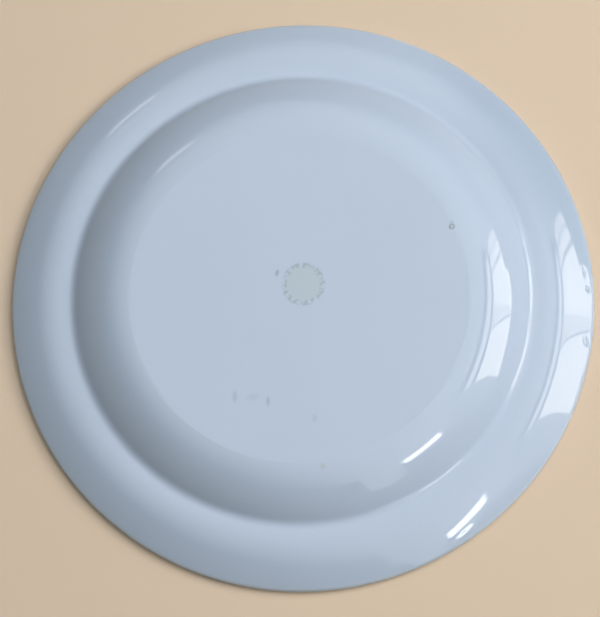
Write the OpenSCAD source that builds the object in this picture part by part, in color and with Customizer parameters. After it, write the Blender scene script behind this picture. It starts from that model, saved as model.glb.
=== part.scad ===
// Round glazed earthenware dinner plate, lying face down on its lip.
// The wall has one thickness. Its back is a flat disc and a chain of arcs, each tangent to the next, and
// every other layer lies at a set depth below the back, so the body and its coats share their surfaces.

/* [Plate] */
// Outside diameter at the lip
plate_d = 254; // [236:1:290]
// Width of the rim, from the foot of the crease to the outside of the lip
rim_w = 25.2; // [22:0.1:36]
// Thickness of the glazed wall, measured square to it
wall_t = 4.4; // [3.6:0.1:5.6]

/* [Shoulder] */
// Radius of the round shoulder between the disc and the crease
shoulder_r = 42.9; // [36:0.1:50]
// Steepest slope of the back, where the shoulder meets the crease, in degrees
wall_slope = 44; // [38:1:52]

/* [Rim] */
// Radius of the hollow crease, which levels out where the rim starts
crease_r = 6; // [3:0.1:9]
// Radius of the rim's inner bend, beside the crease
rim_bend_r = 36; // [30:0.5:44]
// Slope where the rim's inner bend ends and its broad outer bend starts, in degrees
rim_mid_slope = 23; // [18:1:26]
// Slope of the rim at the lip, in degrees
rim_out_slope = 31; // [28:1:38]

/* [Glaze] */
// Thickness of each coat of glaze
glaze_t = 0.25; // [0.15:0.05:0.4]
// Width of the bare line of clay on the lip, between the two coats
bare_line_w = 0.8; // [0.5:0.1:1.4]

/* [Printed mark] */
// Diameter of the printed mark
mark_d = 20; // [12:0.5:30]
// Place of the mark to the right of the plate's axis
mark_x = 1.5; // [-12:0.1:12]
// Place of the mark behind the plate's axis
mark_y = 2.3; // [-12:0.1:12]

/* [Hidden] */
// Largest gap between an arc and its chords
chord_gap = 0.01;
// Overrun of a cut past the surface that it opens
overrun = 1;
$fn = 180;

plate_r = plate_d / 2;
lip_r = wall_t / 2;
half_turn = 180;
quarter_turn = 90;

// Unit direction square to the back where it falls away at this slope.
function square_to(slope) = [sin(slope), cos(slope)];

// How far an arc of unit radius runs outwards between two slopes.
function run_share(from, to) = sin(to) - sin(from);

// The run of each bend, outwards from the plate's axis to the lip.
lip_run = lip_r * run_share(rim_out_slope, quarter_turn);
rim_bend_run = rim_bend_r * run_share(0, rim_mid_slope);
crease_run = crease_r * run_share(0, wall_slope);
shoulder_run = shoulder_r * run_share(0, wall_slope);
disc_r = plate_r - rim_w - crease_run - shoulder_run;
rim_end_r = (rim_w - rim_bend_run - lip_run) / run_share(rim_mid_slope, rim_out_slope);

// The back's bends, from the disc to the lip. Each is its radius, negative where the back is hollow, and the
// slopes between which it turns.
BENDS = [
    [shoulder_r, 0, wall_slope],
    [-crease_r, wall_slope, 0],
    [rim_bend_r, 0, rim_mid_slope],
    [rim_end_r, rim_mid_slope, rim_out_slope],
];

// Centre of each bend, measured from the rim of the disc. A bend starts where the one before it ends, square
// to the same line, so its centre lies on that line.
function bend_centre(i) = i == 0
    ? [disc_r, -BENDS[0][0]]
    : bend_centre(i - 1) + (BENDS[i - 1][0] - BENDS[i][0]) * square_to(BENDS[i][1]);

// Middle of the lip's round, half way through the wall at the end of the last bend.
lip_centre = bend_centre(3) + (BENDS[3][0] - lip_r) * square_to(rim_out_slope);
// The lip rests on the table, which gives the height of the disc.
plate_h = lip_r - lip_centre[1];

// Slopes at which the chords of an arc start, without the arc's end.
function chord_slopes(r, from, to) =
    let (n = max(ceil(abs(to - from) / (2 * acos(1 - chord_gap / abs(r)))), 2))
    [for (i = [0:n - 1]) from + (to - from) * i / n];

// Points of the layer at this depth below the back, from the axis to just before the lip.
function layer(depth) = concat(
    [[0, plate_h - depth]],
    [for (i = [0:len(BENDS) - 1]) let (bend = BENDS[i]) for (slope = chord_slopes(bend[0], bend[1], bend[2]))
        [0, plate_h] + bend_centre(i) + (bend[0] - depth) * square_to(slope)]
);

// Points round the lip at this radius, between two slopes.
function lip(r, from, to) = [for (slope = concat(chord_slopes(lip_r, from, to), to))
    [0, plate_h] + lip_centre + r * square_to(slope)];

// The bare line lies to both sides of the lip's lowest point, and the coats stop there.
bare_half = asin(bare_line_w / 2 / lip_r);
back_coat_end = half_turn - bare_half;
face_coat_end = half_turn + bare_half;
face_slope = rim_out_slope + half_turn;
body_lip_r = lip_r - glaze_t;

function backwards(points) = [for (i = [len(points) - 1:-1:0]) points[i]];

// Pressed and fired earthenware: disc, shoulder, rim and lip in one.
module clay_body() {
    color("#b4c3d1") rotate_extrude() polygon(concat(
        layer(glaze_t),
        lip(body_lip_r, rim_out_slope, back_coat_end),
        lip(lip_r, back_coat_end, face_coat_end),
        lip(body_lip_r, face_coat_end, face_slope),
        backwards(layer(wall_t - glaze_t))
    ));
}

// Clear coat on the back, with the place of the printed mark left open.
module back_glaze() {
    color("#b8c5d6") difference() {
        rotate_extrude() polygon(concat(
            layer(0),
            lip(lip_r, rim_out_slope, back_coat_end),
            lip(body_lip_r, back_coat_end, rim_out_slope),
            backwards(layer(glaze_t))
        ));
        translate([mark_x, mark_y, plate_h - glaze_t - overrun])
            cylinder(d = mark_d, h = glaze_t + 2 * overrun);
    }
}

// Clear coat on the eating side, over the well and the rim.
module face_glaze() {
    color("#bac8d8") rotate_extrude() polygon(concat(
        layer(wall_t - glaze_t),
        lip(body_lip_r, face_slope, face_coat_end),
        lip(lip_r, face_coat_end, face_slope),
        backwards(layer(wall_t))
    ));
}

// Print and the glaze over it, fired flush with the coat round them.
module printed_mark() {
    color("#b3c3c8") translate([mark_x, mark_y, plate_h - glaze_t])
        cylinder(d = mark_d, h = glaze_t);
}

clay_body();
back_glaze();
face_glaze();
printed_mark();
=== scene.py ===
from math import asin, ceil, cos, degrees, pi, radians, sin
import bpy
from mathutils import Matrix, Vector


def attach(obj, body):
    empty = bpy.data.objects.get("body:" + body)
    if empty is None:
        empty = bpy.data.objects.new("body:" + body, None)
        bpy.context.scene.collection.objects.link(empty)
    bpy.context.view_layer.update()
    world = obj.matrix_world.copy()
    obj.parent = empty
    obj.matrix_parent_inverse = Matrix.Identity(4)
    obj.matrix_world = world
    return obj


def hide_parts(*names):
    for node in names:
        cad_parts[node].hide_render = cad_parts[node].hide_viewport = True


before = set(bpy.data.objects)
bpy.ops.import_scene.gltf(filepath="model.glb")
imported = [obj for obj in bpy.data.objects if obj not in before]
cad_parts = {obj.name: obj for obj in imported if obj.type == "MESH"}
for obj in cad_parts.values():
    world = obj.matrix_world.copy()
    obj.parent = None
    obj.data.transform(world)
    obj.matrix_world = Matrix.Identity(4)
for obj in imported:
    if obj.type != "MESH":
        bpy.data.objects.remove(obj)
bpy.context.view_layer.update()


# Camera. The photograph looks steeply down on the back of the plate, a little from its near side and turned
# a few degrees, with a long lens. The place was found from the outlines of the lip and the crease in it.
MM = 0.001
PHOTO_HEIGHT_PX = 617
SENSOR_MM = 36
FOCAL_PX = 2974.4
CAMERA_AT = Vector((0.0, -305.93, 1263.49)) * MM
PHOTO_MIDDLE = Vector((-1.43, -5.11, 12.9)) * MM
CAMERA_ROLL = radians(-8.72)

camera_data = bpy.data.cameras.new("photo_camera")
camera_data.lens = FOCAL_PX * SENSOR_MM / PHOTO_HEIGHT_PX
camera_data.sensor_width = SENSOR_MM
camera = bpy.data.objects.new("photo_camera", camera_data)
bpy.context.scene.collection.objects.link(camera)
camera_back = (CAMERA_AT - PHOTO_MIDDLE).normalized()
level_right = Vector((0, 0, 1)).cross(camera_back).normalized()
level_up = camera_back.cross(level_right)
camera_right = level_right * cos(CAMERA_ROLL) + level_up * sin(CAMERA_ROLL)
camera_up = level_up * cos(CAMERA_ROLL) - level_right * sin(CAMERA_ROLL)
camera_axes = Matrix((camera_right, camera_up, camera_back)).transposed()
camera.matrix_world = Matrix.Translation(CAMERA_AT) @ camera_axes.to_4x4()
bpy.context.scene.camera = camera


# Clay body. Pale blue-grey earthenware, coloured all through, pressed over a turning mould and fired once, so
# each half section is the same run of arcs: flat disc, round shoulder, hollow crease, rim and rolled lip. It
# shows bare only in the fine line on which the lip stands.
PLATE_R = 127.0
RIM_W = 25.2
WALL_T = 4.4
SHOULDER_R = 42.9
WALL_SLOPE = 44
CREASE_R = 6.0
RIM_BEND_R = 36.0
RIM_MID_SLOPE = 23
RIM_OUT_SLOPE = 31
GLAZE_T = 0.25
BARE_LINE_W = 0.8
LIP_R = WALL_T / 2


def square_to(slope):
    """The direction square to the back where it falls away at this slope, in the plate's half section."""
    return Vector((sin(radians(slope)), 0, cos(radians(slope))))


def run_share(start, end):
    """How far an arc of unit radius runs outwards between two slopes."""
    return sin(radians(end)) - sin(radians(start))


# The same run as in the frame: each bend has its radius, negative where hollow, and the slopes that it joins.
LIP_RUN = LIP_R * run_share(RIM_OUT_SLOPE, 90)
RIM_BEND_RUN = RIM_BEND_R * run_share(0, RIM_MID_SLOPE)
RIM_END_R = (RIM_W - RIM_BEND_RUN - LIP_RUN) / run_share(RIM_MID_SLOPE, RIM_OUT_SLOPE)
DISC_R = PLATE_R - RIM_W - (CREASE_R + SHOULDER_R) * run_share(0, WALL_SLOPE)
BENDS = [
    (SHOULDER_R, 0, WALL_SLOPE),
    (-CREASE_R, WALL_SLOPE, 0),
    (RIM_BEND_R, 0, RIM_MID_SLOPE),
    (RIM_END_R, RIM_MID_SLOPE, RIM_OUT_SLOPE),
]
bend_centres = [Vector((DISC_R, 0, -SHOULDER_R))]
for before, bend in zip(BENDS, BENDS[1:]):
    bend_centres.append(bend_centres[-1] + (before[0] - bend[0]) * square_to(bend[1]))
lip_centre = bend_centres[-1] + (RIM_END_R - LIP_R) * square_to(RIM_OUT_SLOPE)
PLATE_H = LIP_R - lip_centre.z
TOP = Vector((0, 0, PLATE_H))
lip_centre += TOP
bend_centres = [centre + TOP for centre in bend_centres]

# The coats stop on both sides of the lip's lowest point.
BARE_HALF = degrees(asin(BARE_LINE_W / 2 / LIP_R))
BACK_COAT_END = 180 - BARE_HALF
FACE_COAT_END = 180 + BARE_HALF
FACE_SLOPE = 180 + RIM_OUT_SLOPE
BODY_LIP_R = LIP_R - GLAZE_T

# How finely the arcs, the disc and the turn round the axis are divided, how near two points are when they
# merge, and from which angle an edge stays crisp.
CHORD_SLOPE = 1.5
CHORD_MM = 0.25
DISC_RING_W = 2.5
ROUND_STEPS = 288
MERGE_GAP = 0.002
SHARP_SLOPE = 35

# The middle of the back was turned flat, a third of a millimetre deep, with a slight lean.
TURNED_DEPTH = 0.33
TURNED_FACING = Vector((-0.0018, -0.004, 1)).normalized()


def new_point(name, at):
    """Starts a piece as one point, from which its half section is drawn in edit mode."""
    bpy.ops.object.select_all(action="DESELECT")
    bpy.ops.mesh.primitive_plane_add(size=MM)
    piece = bpy.context.object
    piece.name = piece.data.name = name
    bpy.ops.object.mode_set(mode="EDIT")
    bpy.ops.mesh.select_mode(type="VERT")
    bpy.ops.mesh.select_all(action="SELECT")
    bpy.ops.mesh.merge(type="CENTER")
    bpy.ops.transform.translate(value=at * MM)
    return piece


def draw_arc(centre, radius, turn):
    """Swings the last point of the section about a centre, to leave an arc behind it."""
    steps = max(ceil(abs(turn) / max(CHORD_SLOPE, degrees(CHORD_MM / abs(radius)))), 2)
    bpy.ops.mesh.spin(steps=steps, angle=radians(turn), center=centre * MM, axis=(0, -1, 0))


def draw_step(run):
    """Draws a straight step from the last point of the section."""
    bpy.ops.mesh.extrude_region_move(TRANSFORM_OT_translate={"value": run * MM})


def draw_disc(run):
    """Draws the flat disc's half section outwards, or inwards if the run is negative, as a row of rings."""
    rings = round(abs(run) / DISC_RING_W)
    for ring in range(rings):
        draw_step(Vector((run / rings, 0, 0)))


def draw_back(depth, start_r):
    """Draws the back at a depth below its surface, from a radius on the disc to the end of the rim."""
    draw_disc(DISC_R - start_r)
    for (radius, start, end), centre in zip(BENDS, bend_centres):
        draw_arc(centre, radius - depth, end - start)


def draw_face(depth):
    """Draws the run of bends from the lip back to the axis, at a depth below the back."""
    for (radius, start, end), centre in zip(reversed(BENDS), reversed(bend_centres)):
        draw_arc(centre, radius - depth, start - end)
    draw_disc(-DISC_R)


def spin_round():
    """Turns the finished section once about the plate's axis and closes the seam and the pole."""
    bpy.ops.mesh.select_all(action="SELECT")
    bpy.ops.mesh.spin(steps=ROUND_STEPS, angle=2 * pi, center=(0, 0, 0), axis=(0, 0, 1))
    bpy.ops.mesh.select_all(action="SELECT")
    bpy.ops.mesh.remove_doubles(threshold=MERGE_GAP * MM)
    bpy.ops.mesh.normals_make_consistent(inside=False)


def turn_flat(piece, depth):
    """Turns the disc flat at a depth below the back, to a crisp edge, as the tool left it."""
    level = TOP - Vector((0, 0, TURNED_DEPTH + depth))
    bpy.ops.mesh.select_all(action="SELECT")
    bpy.ops.mesh.bisect(plane_co=level * MM, plane_no=TURNED_FACING)
    bpy.ops.mesh.mark_sharp()
    bpy.ops.mesh.select_all(action="DESELECT")
    bpy.ops.object.mode_set(mode="OBJECT")
    for point in piece.data.vertices:
        point.select = (piece.matrix_world @ point.co / MM - level).dot(TURNED_FACING) > -MERGE_GAP
    bpy.ops.object.mode_set(mode="EDIT")
    across = TURNED_FACING.to_track_quat("Z", "Y").to_matrix()
    bpy.ops.transform.resize(value=(1, 1, 0), center_override=level * MM,
                             orient_type="GLOBAL", orient_matrix=across, orient_matrix_type="GLOBAL")


def finish_piece(piece, nodes):
    """Leaves edit mode, shades the piece smooth but for its edges, and fits it to the frame."""
    bpy.ops.object.mode_set(mode="OBJECT")
    bpy.ops.object.transform_apply(location=True, rotation=True, scale=True)
    bpy.ops.object.shade_smooth_by_angle(angle=radians(SHARP_SLOPE))
    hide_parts(nodes)
    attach(piece, "root")


clay = new_point("clay_shell", TOP - Vector((0, 0, GLAZE_T)))
draw_back(GLAZE_T, 0)
draw_arc(lip_centre, BODY_LIP_R, BACK_COAT_END - RIM_OUT_SLOPE)
draw_step(GLAZE_T * square_to(BACK_COAT_END))
draw_arc(lip_centre, LIP_R, FACE_COAT_END - BACK_COAT_END)
draw_step(-GLAZE_T * square_to(FACE_COAT_END))
draw_arc(lip_centre, BODY_LIP_R, FACE_SLOPE - FACE_COAT_END)
draw_face(WALL_T - GLAZE_T)
spin_round()
turn_flat(clay, GLAZE_T)
finish_piece(clay, "clay_body")


def hex_colour(code):
    """A colour written as sRGB hex, in the linear values that a shader takes."""
    parts = [int(code[i:i + 2], 16) / 255 for i in (0, 2, 4)]
    return [c / 12.92 if c <= 0.04045 else ((c + 0.055) / 1.055) ** 2.4 for c in parts] + [1.0]


def add_node(tree, kind, settings=None, links=None):
    """Adds a node with its settings, by property or socket name, and what feeds its sockets."""
    made = tree.nodes.new(kind)
    for key, value in (settings or {}).items():
        if isinstance(key, str) and hasattr(made, key):
            setattr(made, key, value)
        else:
            made.inputs[key].default_value = value
    for key, source in (links or {}).items():
        tree.links.new(source, made.inputs[key])
    return made


def new_finish(name, settings):
    """A material with its shader and nothing else yet."""
    finish = bpy.data.materials.new(name)
    finish.use_nodes = True
    finish.node_tree.nodes.clear()
    shader = add_node(finish.node_tree, "ShaderNodeBsdfPrincipled", settings)
    add_node(finish.node_tree, "ShaderNodeOutputMaterial", links={"Surface": shader.outputs["BSDF"]})
    return finish, finish.node_tree, shader


def give_finish(piece, finish, shader, colour, normal):
    """Wires the colour and the relief to the shader, and puts the finish on the piece."""
    finish.node_tree.links.new(colour, shader.inputs["Base Color"])
    finish.node_tree.links.new(normal, shader.inputs["Normal"])
    piece.data.materials.append(finish)


# Fired earthenware, coloured in the clay, as the turning tool left it: matt, with fine sandy grain.
CLAY_PALE = "C3CBD1"
CLAY_DEEP = "AEB8C2"
CLAY_ROUGH = 0.85
CERAMIC_IOR = 1.5
GRAIN_MM = 0.4
GRAIN_HEIGHT_MM = 0.03
GRAIN_STRENGTH = 0.6
clay_finish, tree, shader = new_finish("bisque_earthenware", {"Roughness": CLAY_ROUGH, "IOR": CERAMIC_IOR})
place = add_node(tree, "ShaderNodeTexCoord").outputs["Object"]
grain = add_node(tree, "ShaderNodeTexNoise", {"Scale": 1 / (GRAIN_MM * MM), "Detail": 3},
                 {"Vector": place}).outputs["Fac"]
tone = add_node(tree, "ShaderNodeMix",
                {"data_type": "RGBA", 6: hex_colour(CLAY_DEEP), 7: hex_colour(CLAY_PALE)}, {0: grain})
bump = add_node(tree, "ShaderNodeBump", {"Strength": GRAIN_STRENGTH, "Distance": GRAIN_HEIGHT_MM * MM},
                {"Height": grain})
give_finish(clay, clay_finish, shader, tone.outputs[2], bump.outputs["Normal"])


# Back glaze. A clear, glassy coat a quarter of a millimetre thick over the back of the clay, from the disc
# round the lip to the bare line. It is dipped and fired on the body, and the print in the middle is flush
# with it.
MARK_R = 10.0
MARK_AT = Vector((1.5, 2.3, PLATE_H))
# The coat is turned from this ring outwards, and closes in from it on the edge of the print.
MARK_RING_R = 15.0


def add_coat(piece):
    """Gives a skin its thickness, grown into the clay."""
    bpy.ops.object.mode_set(mode="OBJECT")
    coat = piece.modifiers.new("coat", "SOLIDIFY")
    coat.thickness = GLAZE_T * MM
    coat.offset = -1
    coat.use_even_offset = True
    bpy.ops.object.modifier_apply(modifier=coat.name)


def face_disc(piece, up):
    """Turns the skin over if its flat disc doesn't look up, or down, as it should."""
    bpy.ops.object.mode_set(mode="OBJECT")
    disc = min(piece.data.polygons, key=lambda face: face.center.xy.length)
    bpy.ops.object.mode_set(mode="EDIT")
    if (disc.normal.z > 0) != up:
        bpy.ops.mesh.flip_normals()


def select_edge_ring(piece, radius):
    """Selects only the edges of the level ring at this radius on the disc."""
    bpy.ops.mesh.select_all(action="DESELECT")
    bpy.ops.object.mode_set(mode="OBJECT")
    for point in piece.data.vertices:
        point.select = abs((point.co / MM - TOP).length - radius) < MERGE_GAP
    bpy.ops.object.mode_set(mode="EDIT")


back = new_point("back_coat", TOP + Vector((MARK_RING_R, 0, 0)))
draw_back(0, MARK_RING_R)
draw_arc(lip_centre, LIP_R, BACK_COAT_END - RIM_OUT_SLOPE)
spin_round()
select_edge_ring(back, MARK_RING_R)
narrow = MARK_R / MARK_RING_R
bpy.ops.mesh.extrude_region_move()
bpy.ops.transform.resize(value=(narrow, narrow, 1), center_override=TOP * MM)
bpy.ops.transform.translate(value=(MARK_AT - TOP) * MM)
bpy.ops.mesh.select_all(action="SELECT")
bpy.ops.mesh.normals_make_consistent(inside=False)
face_disc(back, up=True)
turn_flat(back, 0)
add_coat(back)
finish_piece(back, "back_glaze")

# Clear gloss glaze over pale blue clay, fired till it flows. It gives a sharp, slightly wavy reflection, and
# a tone that clouds by a percent or two and pales where the glaze thins on the lip. The surface swells in
# slow waves, ripples and a fine peel, each with its length and height.
GLAZE_PALE = "B8CAE1"
GLAZE_DEEP = "B4C6DE"
GLAZE_THIN = "C1D0E0"
GLAZE_ROUGH = 0.045
CLOUD_MM = 38
SWELLS_MM = ((30, 0.02), (9, 0.002), (2.6, 0.0005))
LIP_THIN_MM = 2.0
LIP_THIN_SHARE = 0.6


def new_glaze(name):
    """The glaze with its clouding, thinning and waves. Returns it with its place, radius, colour and bump."""
    finish, tree, shader = new_finish(name, {"Roughness": GLAZE_ROUGH, "IOR": CERAMIC_IOR})
    place = add_node(tree, "ShaderNodeTexCoord").outputs["Object"]
    flat = add_node(tree, "ShaderNodeVectorMath", {"operation": "MULTIPLY", 1: (1, 1, 0)}, {0: place})
    radius = add_node(tree, "ShaderNodeVectorMath", {"operation": "LENGTH"},
                      {0: flat.outputs["Vector"]}).outputs["Value"]
    cloud = add_node(tree, "ShaderNodeTexNoise", {"Scale": 1 / (CLOUD_MM * MM), "Detail": 2},
                     {"Vector": place})
    tone = add_node(tree, "ShaderNodeMix",
                    {"data_type": "RGBA", 6: hex_colour(GLAZE_DEEP), 7: hex_colour(GLAZE_PALE)},
                    {0: cloud.outputs["Fac"]})
    thin = add_node(tree, "ShaderNodeMapRange",
                    {"interpolation_type": "SMOOTHSTEP", "From Min": (PLATE_R - LIP_THIN_MM) * MM,
                     "From Max": PLATE_R * MM, "To Max": LIP_THIN_SHARE},
                    {"Value": radius})
    colour = add_node(tree, "ShaderNodeMix", {"data_type": "RGBA", 7: hex_colour(GLAZE_THIN)},
                      {0: thin.outputs["Result"], 6: tone.outputs[2]}).outputs[2]
    normal = None
    for size, height in SWELLS_MM:
        swell = add_node(tree, "ShaderNodeTexNoise", {"Scale": 1 / (size * MM), "Detail": 1},
                         {"Vector": place}).outputs["Fac"]
        links = {"Height": swell, "Normal": normal} if normal else {"Height": swell}
        normal = add_node(tree, "ShaderNodeBump", {"Distance": height * MM}, links).outputs["Normal"]
    return finish, tree, shader, place, radius, colour, normal


def add_spot(tree, place, colour, normal, at, size, turn, soft, code=None, height=0):
    """Adds a round or long spot that fades out over the soft share of it. It has a colour of its own, stands
    up or lies in, or both."""
    sized = add_node(tree, "ShaderNodeMapping",
                     {"vector_type": "TEXTURE", "Location": at * MM, "Rotation": (0, 0, radians(turn)),
                      "Scale": Vector((*size, PLATE_R)) / 2 * MM},
                     {"Vector": place})
    out = add_node(tree, "ShaderNodeVectorMath", {"operation": "LENGTH"}, {0: sized.outputs["Vector"]})
    share = add_node(tree, "ShaderNodeMapRange",
                     {"interpolation_type": "SMOOTHSTEP", "From Min": 1.0, "From Max": 1 - soft},
                     {"Value": out.outputs["Value"]}).outputs["Result"]
    if code:
        colour = add_node(tree, "ShaderNodeMix", {"data_type": "RGBA", 7: hex_colour(code)},
                          {0: share, 6: colour}).outputs[2]
    if height:
        normal = add_node(tree, "ShaderNodeBump", {"Distance": height * MM},
                          {"Height": share, "Normal": normal}).outputs["Normal"]
    return colour, normal


back_finish, tree, shader, place, radius, colour, normal = new_glaze("clear_glaze_on_back")

# The glaze pooled a little beside the crease, so that the rim runs level there.
POOL_FROM_R = 101.0
POOL_TO_R = 107.0
POOL_MM = 0.16
pool = add_node(tree, "ShaderNodeMapRange",
                {"interpolation_type": "SMOOTHSTEP", "From Min": POOL_FROM_R * MM,
                 "From Max": POOL_TO_R * MM},
                {"Value": radius}).outputs["Result"]
normal = add_node(tree, "ShaderNodeBump", {"Distance": POOL_MM * MM},
                  {"Height": pool, "Normal": normal}).outputs["Normal"]

# Places near the lip where the glaze ran together before it set, as a slight swell or a drip. Each has its
# place, size, turn and height.
RUN_SOFT = 0.9
RUNS = (
    (Vector((125.3, -24.0, 4.0)), (12.0, 140.0), -11, 0.14),
    (Vector((45.0, -122.5, 4.0)), (80.0, 37.2), 41, 0.80),
    (Vector((54.5, -112.2, 6.0)), (18.2, 5.0), 35, 0.15),
    (Vector((123.4, -13.6, 5.0)), (2.6, 4.6), 0, -0.34),
    (Vector((123.0, -6.0, 5.6)), (1.8, 7.0), 0, -0.18),
    (Vector((125.0, -18.0, 4.6)), (2.4, 8.0), 8, 0.12),
    (Vector((118.6, -36.4, 6.0)), (3.0, 6.0), 0, 0.30),
)
for at, size, turn, height in RUNS:
    colour, normal = add_spot(tree, place, colour, normal, at, size, turn, RUN_SOFT, height=height)

# Painted shade: on the side of the rim where the light falls most strongly, the glaze's colour is painted a
# little darker to take that light down.
PAINTED_SHADE_COLOUR = "A9BCD4"
PAINTED_SHADE_AT = Vector((107.0, 51.0, 8.0))
PAINTED_SHADE_SIZE = (60.0, 200.0)
PAINTED_SHADE_TURN = 25
colour, normal = add_spot(tree, place, colour, normal, PAINTED_SHADE_AT, PAINTED_SHADE_SIZE, PAINTED_SHADE_TURN, RUN_SOFT, PAINTED_SHADE_COLOUR)

# Shallow presses of a worn stamp, a fleck of print beside the mark, and two pin marks of the kiln stilts: a
# dot, and a ring with a chip and a smear beside it. Each has its place, size, turn, soft share, colour and
# height.
PRESS_SOFT = 0.8
PRESS_MM = 0.03
FLECK_AT = Vector((-8.9, 8.9, PLATE_H))
PIN_DOT_AT = Vector((-1.7, -77.2, PLATE_H))
PIN_RING_AT = Vector((68.4, 17.9, PLATE_H))
MARKS = (
    (Vector((-34.4, -42.1, PLATE_H)), (3.4, 7.6), -9, PRESS_SOFT, "AABBD2", -PRESS_MM),
    (Vector((-20.7, -46.1, PLATE_H)), (2.4, 6.4), -9, PRESS_SOFT, "A3B3CB", -PRESS_MM),
    (Vector((-26.8, -43.4, PLATE_H)), (9.0, 4.0), 0, PRESS_SOFT, "B1C1D8", -PRESS_MM),
    (Vector((-2.1, -56.5, PLATE_H)), (3.2, 5.4), -9, PRESS_SOFT, "AEBED6", -PRESS_MM),
    (FLECK_AT, (2.2, 4.4), -21, 0.7, "99AABB", 0),
    (PIN_DOT_AT, (3.6, 3.6), 0, 0.8, "AEBDCF", 0),
    (PIN_RING_AT, (3.4, 3.4), 0, 0.45, "93A2AF", 0),
    (PIN_RING_AT + Vector((-0.9, -0.3, 0)), (1.4, 2.0), 0, 0.8, "8796A2", 0),
    (PIN_RING_AT + Vector((0.3, 1.8, 0)), (2.4, 2.6), 0, 0.9, "A8B7C9", 0),
    (PIN_RING_AT, (1.6, 1.6), 0, 0.7, GLAZE_DEEP, -0.05),
)
for at, size, turn, soft, code, height in MARKS:
    colour, normal = add_spot(tree, place, colour, normal, at, size, turn, soft, code, height)
give_finish(back, back_finish, shader, colour, normal)


# Face glaze. The same clear coat on the eating side, over the well and the rim, which faces the table here.
# It is dipped and fired with the back, and ends at the bare line on the lip.
face = new_point("face_coat", lip_centre + LIP_R * square_to(FACE_COAT_END))
draw_arc(lip_centre, LIP_R, FACE_SLOPE - FACE_COAT_END)
draw_face(WALL_T)
spin_round()
face_disc(face, up=False)
add_coat(face)
finish_piece(face, "face_glaze")
face_finish, tree, shader, place, radius, colour, normal = new_glaze("clear_glaze_on_face")
give_finish(face, face_finish, shader, colour, normal)


# Printed mark. A round transfer print in pale green, laid on the clay under the glaze: an even field in a
# ring of short strokes, which say nothing.
MARK_RINGS = 4
bpy.ops.object.select_all(action="DESELECT")
bpy.ops.mesh.primitive_circle_add(vertices=ROUND_STEPS, radius=MARK_R * MM, fill_type="NGON",
                                  location=MARK_AT * MM)
mark = bpy.context.object
mark.name = mark.data.name = "print_disc"
bpy.ops.object.mode_set(mode="EDIT")
for ring in range(MARK_RINGS):
    bpy.ops.mesh.inset(thickness=MARK_R / (MARK_RINGS + 1) * MM)
turn_flat(mark, 0)
bpy.ops.mesh.select_all(action="SELECT")
draw_step(Vector((0, 0, -GLAZE_T)))
bpy.ops.mesh.select_all(action="SELECT")
bpy.ops.mesh.normals_make_consistent(inside=False)
finish_piece(mark, "printed_mark")

# Pale green ceramic ink under the same glaze, thin enough for the clay to show through.
PRINT_FIELD = "B1C4D2"
PRINT_STROKE = "9DB0C0"
FIELD_AT = MARK_AT + Vector((0.3, 0.4, 0))
FIELD_SIZE = (19.0, 19.0)
FIELD_SOFT = 0.3
RING_MIDDLE_MM = 8.3
RING_HALF_MM = 1.5
RING_FULL_HALF_MM = 0.75
STROKES = 17
STROKE_LONG_MM = 2.0
INK_STARTS = 0.3
INK_FULL = 0.76
mark_finish, tree, shader, place, radius, colour, normal = new_glaze("print_under_glaze")
colour, normal = add_spot(tree, place, colour, normal, FIELD_AT, FIELD_SIZE, 0, FIELD_SOFT, PRINT_FIELD)
from_middle = add_node(tree, "ShaderNodeVectorMath", {"operation": "SUBTRACT", 1: MARK_AT * MM},
                       {0: place}).outputs["Vector"]

# A noise laid round the middle by angle and reach breaks the ring into its strokes.
parts = add_node(tree, "ShaderNodeSeparateXYZ", links={0: from_middle}).outputs
angle = add_node(tree, "ShaderNodeMath", {"operation": "ARCTAN2"}, {0: parts["Y"], 1: parts["X"]})
reach = add_node(tree, "ShaderNodeVectorMath", {"operation": "LENGTH"}, {0: from_middle}).outputs["Value"]
row = add_node(tree, "ShaderNodeCombineXYZ", links={"X": angle.outputs["Value"], "Y": reach})
spaced = add_node(tree, "ShaderNodeVectorMath",
                  {"operation": "MULTIPLY", 1: (STROKES / pi, 1 / (STROKE_LONG_MM * MM), 0)},
                  {0: row.outputs["Vector"]})
ink = add_node(tree, "ShaderNodeTexNoise", {"noise_dimensions": "2D", "Scale": 1.0, "Detail": 0.5},
               {"Vector": spaced.outputs["Vector"]})
strokes = add_node(tree, "ShaderNodeMapRange",
                   {"interpolation_type": "SMOOTHSTEP", "From Min": INK_STARTS, "From Max": INK_FULL},
                   {"Value": ink.outputs["Fac"]})
off_ring = add_node(tree, "ShaderNodeMath", {"operation": "SUBTRACT", 1: RING_MIDDLE_MM * MM}, {0: reach})
off_ring = add_node(tree, "ShaderNodeMath", {"operation": "ABSOLUTE"}, {0: off_ring.outputs["Value"]})
band = add_node(tree, "ShaderNodeMapRange",
                {"interpolation_type": "SMOOTHSTEP", "From Min": RING_HALF_MM * MM,
                 "From Max": RING_FULL_HALF_MM * MM},
                {"Value": off_ring.outputs["Value"]})
printed = add_node(tree, "ShaderNodeMath", {"operation": "MULTIPLY"},
                   {0: band.outputs["Result"], 1: strokes.outputs["Result"]})
colour = add_node(tree, "ShaderNodeMix", {"data_type": "RGBA", 7: hex_colour(PRINT_STROKE)},
                  {0: printed.outputs["Value"], 6: colour}).outputs[2]
give_finish(mark, mark_finish, shader, colour, normal)


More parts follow.
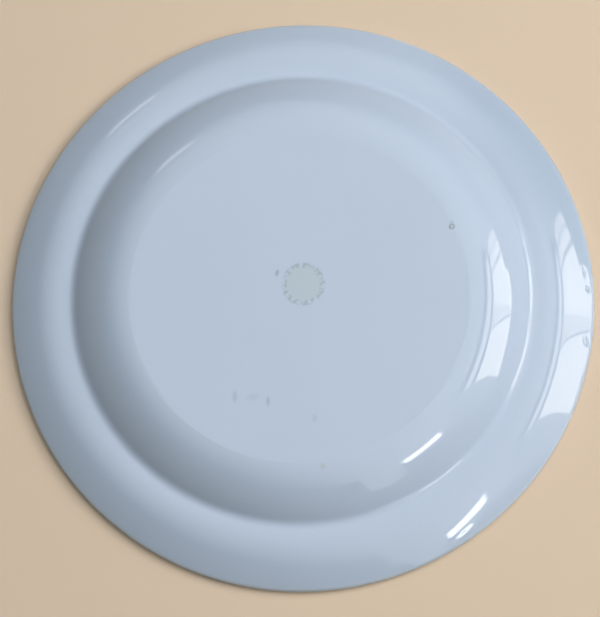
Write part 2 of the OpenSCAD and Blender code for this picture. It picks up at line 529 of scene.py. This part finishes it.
# Floor. A plain, pale, matt studio floor, which shows the plate's soft shadow and no reflection. Far from the
# plate it fades into the backdrop where the camera sees it, as a sweep does. Its measures are in metres.
FLOOR_COLOUR = "DDC9B2"
FLOOR_ROUGH = 0.9
FLOOR_HALF = 3.0
FADE_FROM = 0.2
FADE_TO = 1.0
BACKDROP_COLOUR = "E6DACB"
BACKDROP = 0.75
bpy.ops.object.select_all(action="DESELECT")
bpy.ops.mesh.primitive_plane_add(size=2 * FLOOR_HALF)
floor = bpy.context.object
floor.name = "floor"
floor_finish, tree, shader = new_finish("pale_floor",
                                        {"Roughness": FLOOR_ROUGH, "Base Color": hex_colour(FLOOR_COLOUR)})
place = add_node(tree, "ShaderNodeTexCoord").outputs["Object"]
away = add_node(tree, "ShaderNodeVectorMath", {"operation": "LENGTH"}, {0: place})
fade = add_node(tree, "ShaderNodeMapRange",
                {"interpolation_type": "SMOOTHSTEP", "From Min": FADE_FROM, "From Max": FADE_TO},
                {"Value": away.outputs["Value"]})
rays = add_node(tree, "ShaderNodeLightPath").outputs
share = add_node(tree, "ShaderNodeMath", {"operation": "MULTIPLY"},
                 {0: fade.outputs["Result"], 1: rays["Is Camera Ray"]})
sweep = add_node(tree, "ShaderNodeEmission", {"Color": hex_colour(BACKDROP_COLOUR), "Strength": BACKDROP})
both = add_node(tree, "ShaderNodeMixShader",
                links={0: share.outputs["Value"], 1: shader.outputs["BSDF"], 2: sweep.outputs["Emission"]})
tree.links.new(both.outputs["Shader"], tree.get_output_node("ALL").inputs["Surface"])
floor.data.materials.append(floor_finish)


# Lights. The glaze shows a window to the right, with a mullion, a frame and a curtain across its corner, a
# small window and a lit wall to the lower right, and a far, dim window behind. Two soft boxes that it doesn't
# show fill out their light.
def towards(azimuth, elevation, distance):
    """The point that far from the plate in a direction, with azimuth 0 to the right and 90 to the back."""
    level = cos(radians(elevation)) * distance
    height = sin(radians(elevation)) * distance
    return Vector((level * cos(radians(azimuth)), level * sin(radians(azimuth)), height))


def turned_to(at):
    """The frame of a pane there that stands square to its line to the plate, with its y upwards."""
    return Matrix.Translation(at) @ at.to_track_quat("Z", "Y").to_matrix().to_4x4()


def soft_box(name, at, wide, high, glow):
    """A rectangular lamp that looks at the plate. glow is how bright its face looks, where 1 is white."""
    lamp = bpy.data.lights.new(name, "AREA")
    lamp.shape = "RECTANGLE"
    lamp.size, lamp.size_y = wide, high
    lamp.energy = glow * pi * wide * high
    holder = bpy.data.objects.new(name, lamp)
    bpy.context.scene.collection.objects.link(holder)
    holder.matrix_world = turned_to(at)
    holder.visible_camera = False
    return holder


def lit_pane(name, at, glow, colour, corners):
    """A lit pane of any outline, its corners in millimetres to its right and up. Returns it and its light."""
    first, *others = [Vector((x, y, 0)) for x, y in corners]
    pane = new_point(name, first)
    for before, corner in zip([first] + others, others):
        draw_step(corner - before)
    bpy.ops.mesh.select_all(action="SELECT")
    bpy.ops.mesh.edge_face_add()
    bpy.ops.object.mode_set(mode="OBJECT")
    bpy.ops.object.transform_apply(location=True, rotation=True, scale=True)
    pane.matrix_world = turned_to(at)
    pane.visible_camera = False
    lit = bpy.data.materials.new(name)
    lit.use_nodes = True
    lit.node_tree.nodes.clear()
    light = add_node(lit.node_tree, "ShaderNodeEmission", {"Color": hex_colour(colour), "Strength": glow})
    add_node(lit.node_tree, "ShaderNodeOutputMaterial", links={"Surface": light.outputs["Emission"]})
    pane.data.materials.append(lit)
    return pane, light


# The panes of the window in one plane, with its frame behind them.
WINDOW = towards(3, 41, 1.3)
BEHIND_WINDOW = towards(3, 41, 1.31)
DAYLIGHT = "FFF8F0"
WHITE = "FFFFFF"
PANES = (
    ("window_curtain_edge", WINDOW, 4.8, DAYLIGHT,
     [(460, -265), (372, -20), (330, 60), (290, 66), (328, -93), (384, -215), (394, -280)]),
    ("window_side", WINDOW, 6.2, DAYLIGHT,
     [(381, -283), (374, -215), (318, -93), (280, 68), (212, 75), (230, 12), (270, -133), (326, -290)]),
    ("window_right", WINDOW, 7.2, DAYLIGHT,
     [(307, -295), (205, -312), (200, -400), (100, -425), (-45, -425), (35, 92), (118, 84), (195, 74),
      (211, 12), (251, -133)]),
    ("window_fold", WINDOW, 5.3, DAYLIGHT,
     [(33, 92), (-83, 110), (-83, -410), (-47, -425)]),
    ("window_left", WINDOW, 7.2, DAYLIGHT,
     [(-96, 112), (-400, 175), (-440, -90), (-520, -367), (-270, -366), (-96, -408)]),
    ("window_top", WINDOW, 4.6, WHITE,
     [(290, 122), (262, 200), (0, 264), (-390, 345), (-400, 245), (0, 144)]),
    ("window_frame", BEHIND_WINDOW, 0.4, WHITE,
     [(330, 60), (330, 290), (0, 370), (-420, 465), (-420, 150)]),
    ("window_curtain", WINDOW, 1.5, WHITE,
     [(-405, 240), (-400, 420), (-640, 420), (-700, -290), (-500, -310)]),
)
for pane in PANES:
    lit_pane(*pane)

# Each soft box has its place, its width and height in metres, and how bright it looks. The glaze shows the
# first two as small windows.
soft_box("small_window", towards(-52.4, 45, 1.3), 0.275, 0.112, 12.0)
soft_box("far_window", towards(115.3, 34.5, 1.3), 0.2, 0.09, 2.6)
WALL_EDGE = [(-125, -380), (160, -380), (160, 360), (-125, 360)]
lit_wall, _ = lit_pane("lit_wall", towards(-71, 45, 1.4), 2.1, WHITE, WALL_EDGE)
lit_wall.visible_diffuse = lit_wall.visible_shadow = False
soft_box("fill_right", towards(4, 48, 2.4), 1.8, 1.8, 3.3).visible_glossy = False
soft_box("fill_over", towards(80, 75, 1.6), 1.6, 1.6, 0.97).visible_glossy = False

# Only the glaze shows the ceiling. It dims towards its walls: each side has its azimuth, and how far off in
# metres the dimming starts and is full.
CEILING_GLOW = 2.2
CEILING_DIM = 0.5
CEILING_HEIGHT = 2.0
CEILING_EDGE = [(1510, -1750), (3410, -940), (4490, 1000), (840, 5050), (-1200, 5550), (-2600, 1000),
                (-2300, -1000), (-600, -1750)]
DIM_SIDES = ((163, 1.1, 2.7), (-137, 0.45, 1.7), (5, 1.0, 3.7), (85, 2.3, 7.0))
ceiling, light = lit_pane("ceiling", Vector((0, 0, CEILING_HEIGHT)), CEILING_GLOW, WHITE, CEILING_EDGE)
ceiling.matrix_world = Matrix.Translation((0, 0, CEILING_HEIGHT))
ceiling.visible_diffuse = ceiling.visible_shadow = False
tree = ceiling.data.materials[0].node_tree
place = add_node(tree, "ShaderNodeTexCoord").outputs["Object"]
share = None
for azimuth, starts, full in DIM_SIDES:
    off = add_node(tree, "ShaderNodeVectorMath", {"operation": "DOT_PRODUCT", 1: towards(azimuth, 0, 1)},
                   {0: place})
    side = add_node(tree, "ShaderNodeMapRange", {"From Min": full, "From Max": starts},
                    {"Value": off.outputs["Value"]}).outputs["Result"]
    if share:
        both = add_node(tree, "ShaderNodeMath", {"operation": "MULTIPLY"}, {0: share, 1: side})
        side = both.outputs["Value"]
    share = side
glow = add_node(tree, "ShaderNodeMapRange", {"To Min": CEILING_DIM, "To Max": CEILING_GLOW}, {"Value": share})
tree.links.new(glow.outputs["Result"], light.inputs["Strength"])

# Round the room is a plain pale backdrop for the camera and the glaze. What reaches matt surfaces from there
# is dimmer and cooler.
AMBIENT_COLOUR = "D2DACE"
AMBIENT = 0.13
room = bpy.data.worlds.new("room")
bpy.context.scene.world = room
room.use_nodes = True
tree = room.node_tree
tree.nodes.clear()
rays = add_node(tree, "ShaderNodeLightPath").outputs
mirrored = add_node(tree, "ShaderNodeMath", {"operation": "MAXIMUM"},
                    {0: rays["Is Glossy Ray"], 1: rays["Is Transmission Ray"]})
seen = add_node(tree, "ShaderNodeMath", {"operation": "MAXIMUM"},
                {0: rays["Is Camera Ray"], 1: mirrored.outputs["Value"]})
ambient = add_node(tree, "ShaderNodeBackground", {"Color": hex_colour(AMBIENT_COLOUR), "Strength": AMBIENT})
backdrop = add_node(tree, "ShaderNodeBackground",
                    {"Color": hex_colour(BACKDROP_COLOUR), "Strength": BACKDROP})
both = add_node(tree, "ShaderNodeMixShader",
                links={0: seen.outputs["Value"], 1: ambient.outputs["Background"],
                       2: backdrop.outputs["Background"]})
add_node(tree, "ShaderNodeOutputWorld", links={"Surface": both.outputs["Shader"]})
bpy.context.scene.view_settings.view_transform = "Standard"
